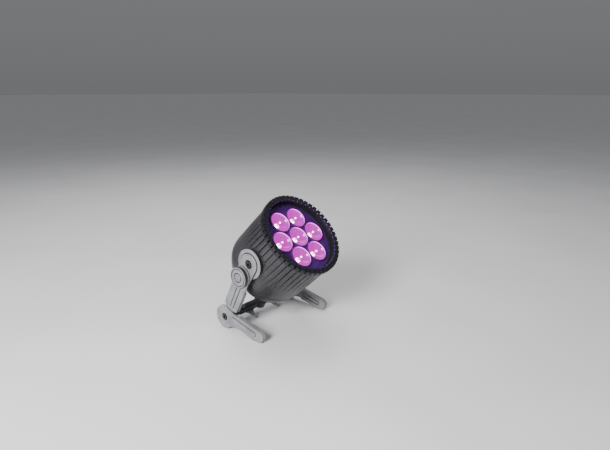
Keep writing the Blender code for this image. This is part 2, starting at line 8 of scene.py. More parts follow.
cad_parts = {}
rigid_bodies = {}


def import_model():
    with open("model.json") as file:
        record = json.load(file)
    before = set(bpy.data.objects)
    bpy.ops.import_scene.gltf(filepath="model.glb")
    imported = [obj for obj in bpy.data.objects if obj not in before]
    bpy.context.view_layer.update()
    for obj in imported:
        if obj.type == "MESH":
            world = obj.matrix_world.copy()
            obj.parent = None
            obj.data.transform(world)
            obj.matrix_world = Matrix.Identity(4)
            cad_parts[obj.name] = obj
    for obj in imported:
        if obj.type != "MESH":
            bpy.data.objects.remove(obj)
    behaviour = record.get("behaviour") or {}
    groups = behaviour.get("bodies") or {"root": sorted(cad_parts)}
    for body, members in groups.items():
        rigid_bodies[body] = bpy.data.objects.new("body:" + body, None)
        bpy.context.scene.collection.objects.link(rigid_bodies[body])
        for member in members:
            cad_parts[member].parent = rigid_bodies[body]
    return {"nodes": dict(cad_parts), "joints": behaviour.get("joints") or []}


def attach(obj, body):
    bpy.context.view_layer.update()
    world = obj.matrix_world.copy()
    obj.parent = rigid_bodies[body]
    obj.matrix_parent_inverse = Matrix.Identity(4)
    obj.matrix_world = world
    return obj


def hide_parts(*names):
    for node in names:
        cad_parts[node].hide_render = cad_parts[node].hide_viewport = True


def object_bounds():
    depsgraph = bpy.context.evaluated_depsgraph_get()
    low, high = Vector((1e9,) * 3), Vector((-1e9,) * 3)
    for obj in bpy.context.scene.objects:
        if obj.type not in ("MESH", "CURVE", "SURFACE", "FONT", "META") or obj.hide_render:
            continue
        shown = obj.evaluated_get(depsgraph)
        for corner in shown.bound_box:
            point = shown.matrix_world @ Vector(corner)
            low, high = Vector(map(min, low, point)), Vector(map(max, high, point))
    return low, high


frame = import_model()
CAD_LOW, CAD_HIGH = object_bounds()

MM = 0.001
JOINTS = {joint["name"]: joint for joint in frame["joints"]}
SIDES = ((-1, "left"), (1, "right"))
BOLT_R = 4.0
BOLT_HEAD_R = 6.5
BOLT_SOCKET_R = 3.4
BOLT_SOCKET_DEPTH = 2.4
HOLE_R = 4.3


# --- local frames, from the joints ----------------------------------------------------------------
def axes(origin, up):
    """Frame whose local X is the tilt axis and whose local Z is the given direction."""
    x, z = Vector((1, 0, 0)), Vector(up).normalized()
    y = z.cross(x)
    matrix = Matrix((x, y, z)).transposed().to_4x4()
    return Matrix.Translation(origin) @ matrix


TILT = Vector(JOINTS["tilt"]["pos_m"])
ELBOW = Vector(JOINTS["elbow"]["pos_m"])
FOOT_PIVOT = Vector(JOINTS["foot_left_fold"]["pos_m"])
HEAD = axes(TILT, JOINTS["button_1_press"]["axis"])
ARM = axes(ELBOW, ELBOW - FOOT_PIVOT)
FOOT = Matrix.Translation(FOOT_PIVOT)
ELBOW_TO_FOOT = (ELBOW - FOOT_PIVOT).length / MM
TILT_IN_ARM = (ARM.inverted() @ TILT) / MM


def span(node, where):
    """Lowest and highest corner of a CAD node in a local frame, in mm."""
    inverse = where.inverted()
    points = [inverse @ v.co / MM for v in frame["nodes"][node].data.vertices]
    low = Vector([min(p[i] for p in points) for i in range(3)])
    high = Vector([max(p[i] for p in points) for i in range(3)])
    return low, high


def layer(node, where):
    """Distances from the middle plane between which a node on the right side lies."""
    low, high = span(node, where)
    return low.x, high.x


def centre(node, where):
    low, high = span(node, where)
    return (low + high) / 2


# --- node materials -------------------------------------------------------------------------------
class Shader:
    """A Principled material with helpers for its procedural detail."""

    def __init__(self, name, colour, roughness, metallic=0.0):
        self.mat = bpy.data.materials.new(name)
        self.mat.use_nodes = True
        self.tree = self.mat.node_tree
        self.bsdf = self.tree.nodes["Principled BSDF"]
        self.bsdf.inputs["Base Color"].default_value = (*colour, 1)
        self.bsdf.inputs["Roughness"].default_value = roughness
        self.bsdf.inputs["Metallic"].default_value = metallic
        self.coords = self.tree.nodes.new("ShaderNodeTexCoord").outputs["Object"]

    def link(self, a, b):
        self.tree.links.new(a, b)

    def node(self, kind, **settings):
        made = self.tree.nodes.new(kind)
        for key, value in settings.items():
            setattr(made, key, value)
        return made

    def noise(self, size_mm, detail=3.0, stretch=(1, 1, 1)):
        mapping = self.node("ShaderNodeMapping")
        mapping.inputs["Scale"].default_value = [1000.0 / size_mm * s for s in stretch]
        noise = self.node("ShaderNodeTexNoise")
        noise.inputs["Scale"].default_value = 1.0
        noise.inputs["Detail"].default_value = detail
        self.link(self.coords, mapping.inputs["Vector"])
        self.link(mapping.outputs["Vector"], noise.inputs["Vector"])
        return noise.outputs["Fac"]

    def ramp(self, value, low, high, out_low, out_high):
        made = self.node("ShaderNodeMapRange")
        for key, number in (("From Min", low), ("From Max", high), ("To Min", out_low), ("To Max", out_high)):
            made.inputs[key].default_value = number
        self.link(value, made.inputs["Value"])
        return made.outputs["Result"]

    def mix(self, factor, a, b):
        made = self.node("ShaderNodeMix", data_type="RGBA")
        self.link(factor, made.inputs["Factor"])
        for socket, value in ((made.inputs[6], a), (made.inputs[7], b)):
            if isinstance(value, tuple):
                socket.default_value = (*value, 1)
            else:
                self.link(value, socket)
        return made.outputs[2]

    def math(self, operation, a, b=None):
        made = self.node("ShaderNodeMath", operation=operation)
        for socket, value in zip(made.inputs, (a, b)):
            if value is None:
                continue
            if isinstance(value, (int, float)):
                socket.default_value = value
            else:
                self.link(value, socket)
        return made.outputs[0]

    def bump(self, height, depth_mm, strength=1.0, under=None):
        made = self.node("ShaderNodeBump")
        made.inputs["Distance"].default_value = depth_mm * MM
        made.inputs["Strength"].default_value = strength
        self.link(height, made.inputs["Height"])
        if under is not None:
            self.link(under, made.inputs["Normal"])
        return made.outputs["Normal"]

    def edge_mask(self, width_mm=0.5):
        """1 on sharp outer edges, broken up like rubbed paint."""
        bevel = self.node("ShaderNodeBevel", samples=4)
        bevel.inputs["Radius"].default_value = width_mm * MM
        geometry = self.node("ShaderNodeNewGeometry")
        dot = self.node("ShaderNodeVectorMath", operation="DOT_PRODUCT")
        self.link(bevel.outputs["Normal"], dot.inputs[0])
        self.link(geometry.outputs["Normal"], dot.inputs[1])
        edge = self.ramp(dot.outputs["Value"], 0.985, 0.88, 0.0, 1.0)
        broken = self.ramp(self.noise(5.0, 6.0), 0.5, 0.68, 0.0, 1.0)
        return self.math("MULTIPLY", edge, broken)

    def cavity_shade(self, reach_mm=2.5):
        """1 in the open, lower in grooves and corners: the mask for painted shade, with some dust, in
        recesses.
        """
        shade = self.node("ShaderNodeAmbientOcclusion", samples=6)
        shade.inputs["Distance"].default_value = reach_mm * MM
        return shade.outputs["AO"]


def powder_coat(name, colour, roughness, worn, wear=0.5):
    """Sprayed texture coat: fine orange peel, faint mottling, dust, painted shade in grooves and corners, and
    rubbed edges.
    """
    s = Shader(name, colour, roughness)
    darker = tuple(c * 0.82 for c in colour)
    lighter = tuple(c * 1.2 for c in colour)
    base = s.mix(s.ramp(s.noise(22.0, 4.0), 0.35, 0.65, 0.0, 1.0), darker, lighter)
    specks = s.ramp(s.noise(0.9, 2.0), 0.62, 0.75, 0.0, 0.35)
    base = s.mix(specks, base, tuple(c * 1.5 for c in colour))
    # Painted shade: grooves and corners darkened to 0.22 of the coat colour.
    base = s.mix(s.ramp(s.cavity_shade(), 0.45, 0.95, 0.0, 1.0), tuple(c * 0.22 for c in colour), base)
    edge = s.math("MULTIPLY", s.edge_mask(), wear)
    s.link(s.mix(edge, base, worn), s.bsdf.inputs["Base Color"])
    uneven = s.ramp(s.noise(9.0, 5.0), 0.3, 0.7, roughness - 0.07, roughness + 0.09)
    s.link(uneven, s.bsdf.inputs["Roughness"])
    peel = s.bump(s.noise(0.75, 2.0), 0.06, 0.55)
    s.link(s.bump(s.noise(3.5, 2.0), 0.05, 0.4, peel), s.bsdf.inputs["Normal"])
    return s.mat


def metal(name, colour, roughness, stretch=(1, 1, 1)):
    """Machined or plated metal with faint lines and tarnish."""
    s = Shader(name, colour, roughness, 1.0)
    dull = tuple(c * 0.7 for c in colour)
    s.link(s.mix(s.ramp(s.noise(6.0, 5.0), 0.4, 0.7, 0.0, 0.8), colour, dull), s.bsdf.inputs["Base Color"])
    lines = s.noise(1.6, 4.0, stretch)
    s.link(s.ramp(lines, 0.3, 0.7, roughness - 0.07, roughness + 0.12), s.bsdf.inputs["Roughness"])
    s.link(s.bump(lines, 0.02, 0.5), s.bsdf.inputs["Normal"])
    return s.mat


def plastic(name, colour, roughness, grain=0.5, depth=0.03):
    """Moulded plastic or rubber with a fine grain."""
    s = Shader(name, colour, roughness)
    pale = tuple(min(1.0, c * 1.6 + 0.004) for c in colour)
    s.link(s.mix(s.ramp(s.noise(8.0, 5.0), 0.45, 0.75, 0.0, 0.6), colour, pale), s.bsdf.inputs["Base Color"])
    s.link(s.ramp(s.noise(4.0, 4.0), 0.3, 0.7, roughness - 0.06, roughness + 0.1), s.bsdf.inputs["Roughness"])
    s.link(s.bump(s.noise(grain, 2.0), depth, 0.6), s.bsdf.inputs["Normal"])
    s.bsdf.inputs["Specular IOR Level"].default_value = 0.35
    return s.mat


def lens_glow(radius):
    """Lit lens: white-hot emitter at the bottom, magenta wall with moulded flutes, and a painted highlight on
    one side of the rim.
    """
    s = Shader("lens_lit", (0.10, 0.01, 0.10), 0.16)
    s.bsdf.inputs["Coat Weight"].default_value = 0.15
    s.bsdf.inputs["Coat Roughness"].default_value = 0.05
    split = s.node("ShaderNodeSeparateXYZ")
    s.link(s.coords, split.inputs[0])
    x, y = split.outputs["X"], split.outputs["Y"]
    across = s.math("SQRT", s.math("ADD", s.math("MULTIPLY", x, x), s.math("MULTIPLY", y, y)))
    share = s.math("DIVIDE", across, radius * MM)
    flutes = s.math("SINE", s.math("MULTIPLY", s.math("ARCTAN2", y, x), 18.0))
    wall = s.mix(s.ramp(share, 0.25, 0.85, 0.0, 1.0), (1.0, 0.006, 0.74), (0.72, 0.004, 0.95))
    wall = s.mix(s.ramp(s.noise(7.0, 3.0), 0.4, 0.65, 0.0, 0.7), wall, (1.0, 0.012, 0.58))
    # Painted highlight: the rim glows brighter on one side of each lens only.
    toward_highlight = s.math("ADD", s.math("MULTIPLY", x, 0.9), s.math("MULTIPLY", y, 0.45))
    highlight_side = s.ramp(s.math("DIVIDE", toward_highlight, radius * MM), 0.1, 0.8, 0.0, 1.0)
    rim = s.math("MULTIPLY", s.ramp(share, 0.89, 0.915, 0.0, 1.0), highlight_side)
    lip = s.ramp(share, 0.93, 0.96, 1.0, 0.12)
    hot = s.ramp(share, 0.27, 0.17, 0.0, 1.0)
    colour = s.mix(rim, wall, (1.0, 0.16, 1.0))
    s.link(s.mix(hot, colour, (1.0, 0.93, 1.0)), s.bsdf.inputs["Emission Color"])
    strength = s.math("ADD", 0.8, s.math("MULTIPLY", flutes, 0.12))
    strength = s.math("ADD", strength, s.math("MULTIPLY", rim, 2.6))
    strength = s.math("MULTIPLY", strength, lip)
    s.link(s.math("ADD", strength, s.math("MULTIPLY", hot, 8.0)), s.bsdf.inputs["Emission Strength"])
    return s.mat


def glow(name, colour, strength):
    s = Shader(name, colour, 0.25)
    s.bsdf.inputs["Emission Color"].default_value = (*colour, 1)
    flicker = s.ramp(s.noise(3.0), 0.3, 0.7, strength * 0.85, strength * 1.15)
    s.link(flicker, s.bsdf.inputs["Emission Strength"])
    return s.mat


HOUSING_COAT = powder_coat("housing_powder_coat", (0.025, 0.024, 0.028), 0.31, (0.14, 0.14, 0.15), 0.35)
CAP_COAT = powder_coat("cap_powder_coat", (0.017, 0.017, 0.020), 0.36, (0.12, 0.12, 0.13), 0.3)
STAND_COAT = powder_coat("stand_powder_coat", (0.195, 0.195, 0.208), 0.40, (0.42, 0.42, 0.44), 0.5)
BAR_COAT = powder_coat("bar_powder_coat", (0.028, 0.028, 0.032), 0.42, (0.15, 0.15, 0.16), 0.5)
RING_COAT = plastic("ring_black_coat", (0.008, 0.008, 0.012), 0.36, 0.7, 0.05)
# Violet colour of the inner-rim beads: painted glints of the lenses' light.
BEAD_PAINTED_GLINT = plastic("ring_bead_painted_glint", (0.13, 0.03, 0.34), 0.2)
# Black lens plate tinted violet: painted spill of the lenses' light, also used on the bezels.
PLATE_PAINTED_SPILL = plastic("lens_plate_satin", (0.048, 0.008, 0.115), 0.34)
PLASTIC_BLACK = plastic("moulded_black", (0.018, 0.018, 0.020), 0.40)
BUTTON_GREY = plastic("button_grey", (0.10, 0.10, 0.105), 0.45)
# Black for the knob bodies and the disc backings: their dark walls and gaps are painted shade.
SHADE_BLACK = plastic("painted_shade_black", (0.016, 0.015, 0.020), 0.36)
RUBBER = plastic("rubber_black", (0.013, 0.013, 0.014), 0.72, 0.35, 0.05)
STEEL = metal("zinc_steel", (0.60, 0.60, 0.62), 0.30)
DARK_STEEL = metal("black_oxide_steel", (0.085, 0.083, 0.09), 0.34)
BRIGHT_ALUMINIUM = metal("milled_aluminium", (0.70, 0.70, 0.72), 0.36, (0.05, 1, 1))
BRASS_PIN = metal("plated_pin", (0.80, 0.66, 0.38), 0.28)
BOARD_WHITE = plastic("board_white_mask", (0.72, 0.72, 0.70), 0.42)
BOARD_GREEN = plastic("board_green_mask", (0.02, 0.15, 0.06), 0.38)
DISPLAY = plastic("display_dark_glass", (0.010, 0.014, 0.022), 0.10, 3.0, 0.002)
DISPLAY_LIT = glow("display_segments", (0.25, 0.65, 1.0), 1.6)


# --- meshes ---------------------------------------------------------------------------------------
def arc(middle, radius, start, end, count):
    """Points on an arc, angles in degrees, both ends included."""
    points = []
    for i in range(count + 1):
        angle = math.radians(start + (end - start) * i / count)
        points.append((middle[0] + radius * math.cos(angle), middle[1] + radius * math.sin(angle)))
    return points


def circle(middle, radius, count=64):
    return arc(middle, radius, 0, 360, count)[:-1]


def stadium(start, end, radius, count=12):
    heading = math.degrees(math.atan2(end[1] - start[1], end[0] - start[0]))
    return (arc(start, radius, heading + 90, heading + 270, count)
            + arc(end, radius, heading - 90, heading + 90, count))


def rounded(points, radius, count=4, closed=False):
    """The outline with its corners rounded off; ends of an open outline stay."""
    out, total = [], len(points)
    for i, here in enumerate(points):
        if not closed and i in (0, total - 1):
            out.append(here)
            continue
        corner = Vector(here)
        before, after = Vector(points[i - 1]) - corner, Vector(points[(i + 1) % total]) - corner
        if before.length < 1e-6 or after.length < 1e-6:
            continue
        if before.angle(after) > math.radians(165):
            out.append(here)
            continue
        cut = min(radius, before.length * 0.45, after.length * 0.45)
        first, last = corner + before.normalized() * cut, corner + after.normalized() * cut
        for k in range(count + 1):
            t = k / count
            point = first * (1 - t) ** 2 + corner * 2 * t * (1 - t) + last * t ** 2
            out.append(tuple(point))
    return out


def finished(bm, name, angle=32):
    bmesh.ops.remove_doubles(bm, verts=bm.verts, dist=0.000004)
    bmesh.ops.recalc_face_normals(bm, faces=bm.faces)
    mesh = bpy.data.meshes.new(name)
    bm.to_mesh(mesh)
    bm.free()
    mesh.shade_smooth()
    mesh.set_sharp_from_angle(angle=math.radians(angle))
    return mesh


def turned_mesh(name, profile, steps=96, thetas=None, shape=None, closed=False):
    """Turns (radius, height) points about local Z. shape(r, z, theta) may return a changed radius."""
    bm = bmesh.new()
    thetas = thetas or [2 * math.pi * i / steps for i in range(steps)]
    loops = []
    for r, z in profile:
        row = []
        for theta in thetas:
            radius = shape(r, z, theta) if shape else r
            row.append(bm.verts.new((radius * math.cos(theta) * MM, radius * math.sin(theta) * MM, z * MM)))
        loops.append(row)
    rows = list(zip(loops, loops[1:] + (loops[:1] if closed else [])))
    for upper, lower in rows:
        for i in range(len(thetas)):
            j = (i + 1) % len(thetas)
            bm.faces.new((upper[i], upper[j], lower[j], lower[i]))
    return finished(bm, name)


def plate_mesh(name, outlines, low, high):
    """Flat plate between two heights; inner outlines become holes."""
    curve = bpy.data.curves.new(name, "CURVE")
    curve.dimensions = "2D"
    curve.fill_mode = "BOTH"
    curve.extrude = (high - low) * MM / 2
    for outline in outlines:
        spline = curve.splines.new("POLY")
        spline.points.add(len(outline) - 1)
        for point, (u, v) in zip(spline.points, outline):
            point.co = (u * MM, v * MM, 0, 1)
        spline.use_cyclic_u = True
    obj = bpy.data.objects.new(name, curve)
    bpy.context.scene.collection.objects.link(obj)
    bpy.context.view_layer.update()
    mesh = bpy.data.meshes.new_from_object(obj.evaluated_get(bpy.context.evaluated_depsgraph_get()))
    bpy.data.objects.remove(obj, do_unlink=True)
    bm = bmesh.new()
    bm.from_mesh(mesh)
    bmesh.ops.remove_doubles(bm, verts=bm.verts, dist=0.00001)
    bmesh.ops.dissolve_limit(bm, angle_limit=math.radians(0.5), verts=bm.verts, edges=bm.edges)
    bmesh.ops.translate(bm, verts=bm.verts, vec=(0, 0, (low + high) / 2 * MM))
    return finished(bm, name)


def box_mesh(name, boxes):
    bm = bmesh.new()
    for low, high in boxes:
        low, high = Vector(low) * MM, Vector(high) * MM
        size = Matrix.Diagonal((*(high - low), 1.0))
        bmesh.ops.create_cube(bm, size=1.0, matrix=Matrix.Translation((low + high) / 2) @ size)
    return finished(bm, name)


def on_side(mesh, side):
    """Stands a plate on edge in the YZ plane, its heights measured outwards from the middle plane."""
    mesh.transform(Matrix(((0, 0, side, 0), (1, 0, 0, 0), (0, 1, 0, 0), (0, 0, 0, 1))))
    if side < 0:
        mesh.flip_normals()
    return mesh


def outward(side, y=0.0, z=0.0):
    """Places a turned piece so that its local +Z points away from the middle plane."""
    return Matrix.Translation(Vector((0, y, z)) * MM) @ Matrix.Rotation(side * math.pi / 2, 4, "Y")


def piece(name, mesh, mat, where, body, nodes=(), own_axes=False):
    """A finished piece. own_axes keeps its placement on the object, for a pattern about its own centre."""
    obj = bpy.data.objects.new(name, mesh)
    bpy.context.scene.collection.objects.link(obj)
    mesh.materials.clear()
    mesh.materials.append(mat)
    if own_axes:
        obj.matrix_world = where
    else:
        mesh.transform(where)
    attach(obj, body)
    if nodes:
        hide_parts(*nodes)
    return obj


def shaped(mesh, cutters=(), bevel=0.0, segments=3, operation="DIFFERENCE"):
    """The mesh after its cuts and edge rounding, all in the same local frame."""
    scene = bpy.context.scene.collection.objects
    obj = bpy.data.objects.new("work", mesh)
    scene.link(obj)
    tools = []
    for cutter in cutters:
        tool = bpy.data.objects.new("tool", cutter)
        scene.link(tool)
        tools.append(tool)
        mod = obj.modifiers.new("cut", "BOOLEAN")
        mod.operation = operation
        mod.object = tool
    if bevel:
        mod = obj.modifiers.new("edge", "BEVEL")
        mod.width = bevel * MM
        mod.segments = segments
        mod.limit_method = "ANGLE"
        mod.angle_limit = math.radians(40)
    bpy.context.view_layer.update()
    made = bpy.data.meshes.new_from_object(obj.evaluated_get(bpy.context.evaluated_depsgraph_get()))
    for extra in [obj] + tools:
        bpy.data.objects.remove(extra, do_unlink=True)
    made.shade_smooth()
    made.set_sharp_from_angle(angle=math.radians(38))
    return made


def repaint(node, mat):
    """Gives a carried-over CAD node its finished material."""
    mesh = frame["nodes"][node].data
    mesh.materials.clear()
    mesh.materials.append(mat)


# --- lamp head ------------------------------------------------------------------------------------
TEETH = 48
PITCH = 2 * math.pi / TEETH
GROOVE_HALF = 1.0
BOSS_R = 27.0
BOSS_ROOT = 74.0
RING_LOW, RING_HIGH = span("front_ring", HEAD)
RING_R = RING_HIGH.x
RING_FRONT = RING_HIGH.z
RING_SKIRT_R = 81.0
RING_BORE_R = 79.2
NOTCH_SIZE = (12.4, 3.0, 9.6)
NOTCH_STATION = 75.0
BEAD_R = 1.1
HOUSING_LOW, HOUSING_HIGH = span("housing", HEAD)
CAP_LOW, CAP_HIGH = span("rear_cap", HEAD)
CAP_SCREW_CIRCLE_R = 47.0
HOUSING_R = HOUSING_HIGH.y
HOUSING_INNER_R = 81.7
GROOVE_DEPTH = 3.9
GROOVE_END = -12.0
FIN_CROWN = 0.5
SKIN_INSET = 0.3
PAD_FACE = 85.6
SPOT_FACE = 85.4
SPOT_R = 31.0


def curve_through(points, count):
    """A smooth line through a few profile points."""
    out = []
    for i in range(len(points) - 1):
        p0, p1 = Vector(points[max(i - 1, 0)]), Vector(points[i])
        p2, p3 = Vector(points[i + 1]), Vector(points[min(i + 2, len(points) - 1)])
        for k in range(count):
            t = k / count
            out.append(tuple(0.5 * (2 * p1 + (p2 - p0) * t + (2 * p0 - 5 * p1 + 4 * p2 - p3) * t ** 2
                                    + (3 * p1 - p0 - 3 * p2 + p3) * t ** 3)))
    return out + [points[-1]]


def groove_thetas():
    """Angles crowded round each groove's walls, so that its lips are crisp."""
    offsets = [0.0, 0.7, 0.95, 1.1, 1.3, 1.6, 2.2, 3.6]
    angles = []
    for i in range(TEETH):
        middle = (i + 0.5) * PITCH
        for side in (-1, 1):
            for mm in offsets:
                if mm or side > 0:
                    angles.append((middle + side * mm / 85.0) % (2 * math.pi))
        angles.append((i * PITCH) % (2 * math.pi))
    return sorted(set(angles))


def smoothstep(low, high, value):
    t = min(1.0, max(0.0, (value - low) / (high - low)))
    return t * t * (3 - 2 * t)


def fin_radius(r, z, theta):
    """Radius of the skin with its grooves, which get shallower to the rear and stop round the pads."""
    away = abs(((theta / PITCH) % 1.0) - 0.5) * PITCH * r
    groove = 1.0 - smoothstep(GROOVE_HALF - 0.15, GROOVE_HALF + 0.35, away)
    depth = GROOVE_DEPTH * min(1.0, max(0.0, (z - GROOVE_END) / (HOUSING_HIGH.z - GROOVE_END)))
    crown = FIN_CROWN * smoothstep(GROOVE_HALF, PITCH * r / 2, away)
    crown *= smoothstep(GROOVE_END - 8, GROOVE_END + 12, z)
    clear_of_pad = smoothstep(SPOT_R, SPOT_R + 2.0, math.hypot(r * math.sin(theta), z))
    return r - SKIN_INSET - groove * depth * clear_of_pad + crown


def make_housing():
    front, back = HOUSING_HIGH.z, HOUSING_LOW.z
    stations = [front - 0.8 - (front - back - 1.6) * i / 44 for i in range(45)]
    skin = [(HOUSING_R - 0.7, front)] + [(HOUSING_R, z) for z in stations] + [(HOUSING_R - 0.8, back)]
    inner = [(HOUSING_INNER_R, back), (HOUSING_INNER_R, front)]

    def shape(r, z, theta):
        return fin_radius(r, z, theta) if r > HOUSING_INNER_R + 1 else r

    mesh = turned_mesh("housing_shell", skin + inner, thetas=groove_thetas(), shape=shape, closed=True)
    flats = [on_side(plate_mesh("flat", [circle((0, 0), SPOT_R, 96)], SPOT_FACE, 99.0), side)
             for side, _ in SIDES]
    mesh = shaped(mesh, flats)
    piece("housing_shell", mesh, HOUSING_COAT, HEAD, "head", ["housing"])
    for side, word in SIDES:
        corners = [(HOLE_R, PAD_FACE), (BOSS_R, PAD_FACE), (BOSS_R, BOSS_ROOT), (HOLE_R, BOSS_ROOT)]
        profile = rounded(corners, 0.6, closed=True)
        boss = turned_mesh("housing_boss_" + word, profile, closed=True)
        piece("housing_boss_" + word, boss, HOUSING_COAT, HEAD @ outward(side), "head")


def make_ring():
    back = HOUSING_HIGH.z + 0.4
    profile = rounded([(RING_R, RING_FRONT), (RING_R, back), (RING_SKIRT_R, back), (RING_SKIRT_R, RING_LOW.z),
                       (RING_BORE_R - 0.6, RING_LOW.z), (RING_BORE_R, RING_FRONT)], 0.5, 3, closed=True)
    ring = turned_mesh("front_ring_toothed", profile, steps=192, closed=True)
    bm = bmesh.new()
    for i in range(TEETH):
        turn = Matrix.Rotation((i + 0.5) * PITCH, 4, "Z")
        middle = Matrix.Translation(Vector((RING_R, 0, NOTCH_STATION)) * MM)
        size = Matrix.Diagonal((*(side * MM for side in NOTCH_SIZE), 1))
        bmesh.ops.create_cube(bm, size=1.0, matrix=turn @ middle @ size)
    notches = finished(bm, "notches")
    ring = shaped(ring, [notches], 0.22, 2)
    piece("front_ring_toothed", ring, RING_COAT, HEAD, "head", ["front_ring"])
    # Small beads along the inner front edge, coloured as painted violet glints.
    bm = bmesh.new()
    for i in range(TEETH):
        turn = Matrix.Rotation(i * PITCH, 4, "Z")
        spot = Matrix.Translation(Vector((RING_BORE_R + 0.2, 0, RING_FRONT - 1.0)) * MM)
        size = Matrix.Diagonal((1.0, 1.3, 1.0, 1))
        bmesh.ops.create_uvsphere(bm, u_segments=12, v_segments=8, radius=BEAD_R * MM,
                                  matrix=turn @ spot @ size)
    piece("ring_inner_beads", finished(bm, "ring_inner_beads"), BEAD_PAINTED_GLINT, HEAD, "head")


LENS_NAMES = ["lens_%d" % i for i in range(1, 8)]
LENS_FACE = span("lens_1", HEAD)[1].z
LENS_R = span("lens_1", HEAD)[1].x
LENS_DEPTH = 15.0
BOWL_R, BOWL_FLOOR_R = 20.2, 5.0


def make_lenses():
    lit = lens_glow(LENS_R)
    dot = glow("lens_centre_dot", (1.0, 0.92, 1.0), 5.0)
    core = glow("lens_core", (0.9, 0.03, 0.75), 0.9)
    face = LENS_FACE
    wall = [(BOWL_R - (BOWL_R - BOWL_FLOOR_R) * t ** 1.5, face - 0.5 - (LENS_DEPTH - 0.5) * t)
            for t in [i / 14 for i in range(15)]]
    outside = [(8.2, face - LENS_DEPTH - 2.0), (LENS_R - 0.4, face - 4.0), (LENS_R, face - 1.6)]
    lip = rounded([(LENS_R, face - 1.6), (LENS_R, face), (20.6, face), wall[0]], 0.7, 4)
    profile = [(0, wall[-1][1])] + wall[::-1] + lip[::-1][1:] + outside[::-1][1:] + [(0, outside[0][1])]
    pip = [(0, face - 0.7), (0.9, face - 0.9), (1.5, face - 1.6), (1.7, face - 2.6), (1.3, face - 3.6),
           (0, face - 3.6)]
    stem = [(0, face - 3.5), (1.2, face - 3.5), (1.0, face - 8.0), (1.6, face - LENS_DEPTH + 0.2),
            (0, face - LENS_DEPTH + 0.2)]
    bezel = rounded([(22.5, 61.3), (22.5, 63.2), (23.4, 63.2), (24.1, 61.3)], 0.4, 3, closed=True)
    for name in LENS_NAMES:
        spot = centre(name, HEAD)
        place = HEAD @ Matrix.Translation(Vector((spot.x, spot.y, 0)) * MM)
        piece(name + "_optic", turned_mesh(name + "_optic", profile, 72), lit, place, "head",
              [name], own_axes=True)
        piece(name + "_pip", turned_mesh(name + "_pip", pip, 24), dot, place, "head")
        piece(name + "_stem", turned_mesh(name + "_stem", stem, 20), core, place, "head")
        piece(name + "_bezel", turned_mesh(name + "_bezel", bezel, 72, closed=True), PLATE_PAINTED_SPILL, place,
              "head")


def make_rear_cap():
    front, back, wall = CAP_HIGH.z, CAP_LOW.z, 3.6
    lip = [(82.8, front), (85.9, front)]
    outer = curve_through([(86.5, front - 0.7), (85.3, -58.0), (82.3, -66.0), (77.8, -74.0), (71.9, -81.0),
                           (63.9, -86.2), (52.0, back)], 6)
    inner = [(0, back + wall), (50.5, back + wall), (62.3, -82.8), (69.2, -78.3), (74.7, -71.9),
             (79.0, -64.3), (81.8, -57.0)]
    profile = inner + lip + outer + [(51.3, back), (0, back)]
    low, high = span("display_window", HEAD)
    window = ((low.x - 0.3, low.y - 0.3, back - 3), (high.x + 0.3, high.y + 0.3, back + 8))
    cutters = [box_mesh("display_cut", [window])]
    for name in ("power_in", "power_out", "data_in", "data_out"):
        spot = centre(name, HEAD)
        cutters.append(plate_mesh("cut", [circle((spot.x, spot.y), 11.0, 48)], back - 3, back + 8))
    for i in range(1, 5):
        spot = centre("menu_button_%d" % i, HEAD)
        cutters.append(plate_mesh("cut", [circle((spot.x, spot.y), 3.4, 32)], back - 3, back + 8))
    cap = shaped(turned_mesh("rear_cap_shell", profile, 128), cutters)
    piece("rear_cap_shell", cap, CAP_COAT, HEAD, "head", ["rear_cap"])
    for i in range(4):
        angle = math.radians(45 + 90 * i)
        spot = Vector((math.cos(angle), math.sin(angle), 0)) * CAP_SCREW_CIRCLE_R
        place = HEAD @ Matrix.Translation(spot * MM)
        head = socket_head("cap_screw_%d" % (i + 1), 2.6, back + 0.1, back - 1.4, 1.3, 1.0)
        piece("cap_screw_%d" % (i + 1), head, DARK_STEEL, place, "head")


def socket_head(name, radius, under, top, hex_r, deep, shank_r=0.0, tip=0.0):
    """Screw head with a hex socket; top may be above or below under along local Z."""
    way = 1 if top > under else -1
    profile = [(0, top)] + rounded([(0.01, top), (radius, top), (radius, under), (shank_r or 0.01, under)],
                                   0.35, 4)[1:]
    if shank_r:
        profile += [(shank_r, tip)]
    profile.append((0, profile[-1][1]))
    hexagon = plate_mesh("hex", [circle((0, 0), hex_r, 6)], min(top + way, top - way * deep),
                         max(top + way, top - way * deep))
    return shaped(turned_mesh(name, profile, 48), [hexagon], 0.0)


SOCKET_RIM_R = 12.1
SOCKET_PINS = 3


